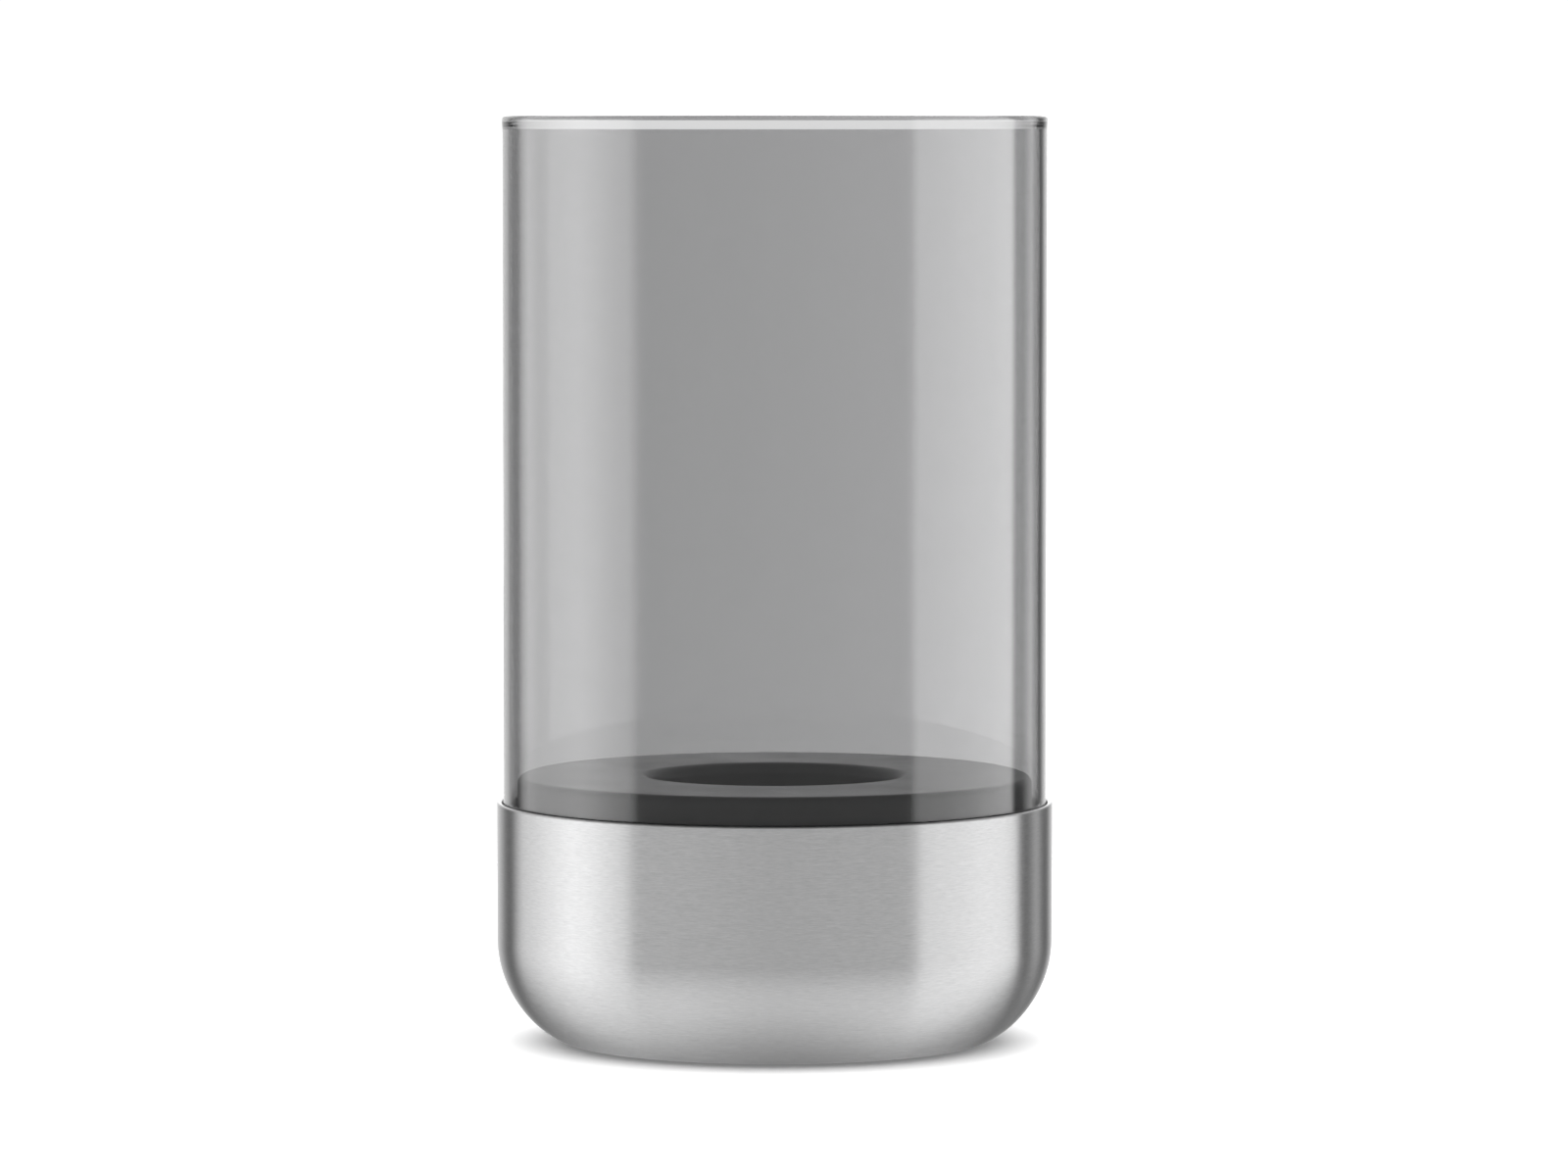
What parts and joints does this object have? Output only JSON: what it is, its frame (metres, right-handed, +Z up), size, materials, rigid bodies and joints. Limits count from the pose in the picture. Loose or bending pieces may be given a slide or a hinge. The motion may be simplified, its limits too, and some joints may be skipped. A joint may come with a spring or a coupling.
{
  "type": "glass cylinder lantern",
  "caption": "Smoked glass cylinder, open at both ends, standing on a black silicone insert with a round candle well, set in a brushed steel bowl with soft lower corners.",
  "frame": {"origin": "centre of the flat rest face under the foot pad", "axes": "+Z up along the axis that every piece is turned about; -Y is the front; +X to the right seen from the front"},
  "size_m": [0.095, 0.095, 0.1582],
  "materials": {
    "brushed_steel": "fine brushing that runs round the bowl",
    "pad_foam": "matt fine-celled foam rubber",
    "black_silicone": "matt moulded silicone",
    "smoked_glass": "clear, neutral grey, fire-polished rim"
  },
  "bodies": {
    "base": {"steel_bowl": "brushed_steel", "foot_pad": "pad_foam"},
    "insert": {"candle_insert": "black_silicone"},
    "glass": {"glass_cylinder": "smoked_glass"}
  },
  "joints": [
    {"name": "insert_lift", "type": "slide", "parent": "base", "child": "insert", "axis": [0, 0, 1], "range_m": [0, 0.045]},
    {"name": "glass_lift", "type": "slide", "parent": "insert", "child": "glass", "axis": [0, 0, 1], "range_m": [0, 0.06]}
  ]
}
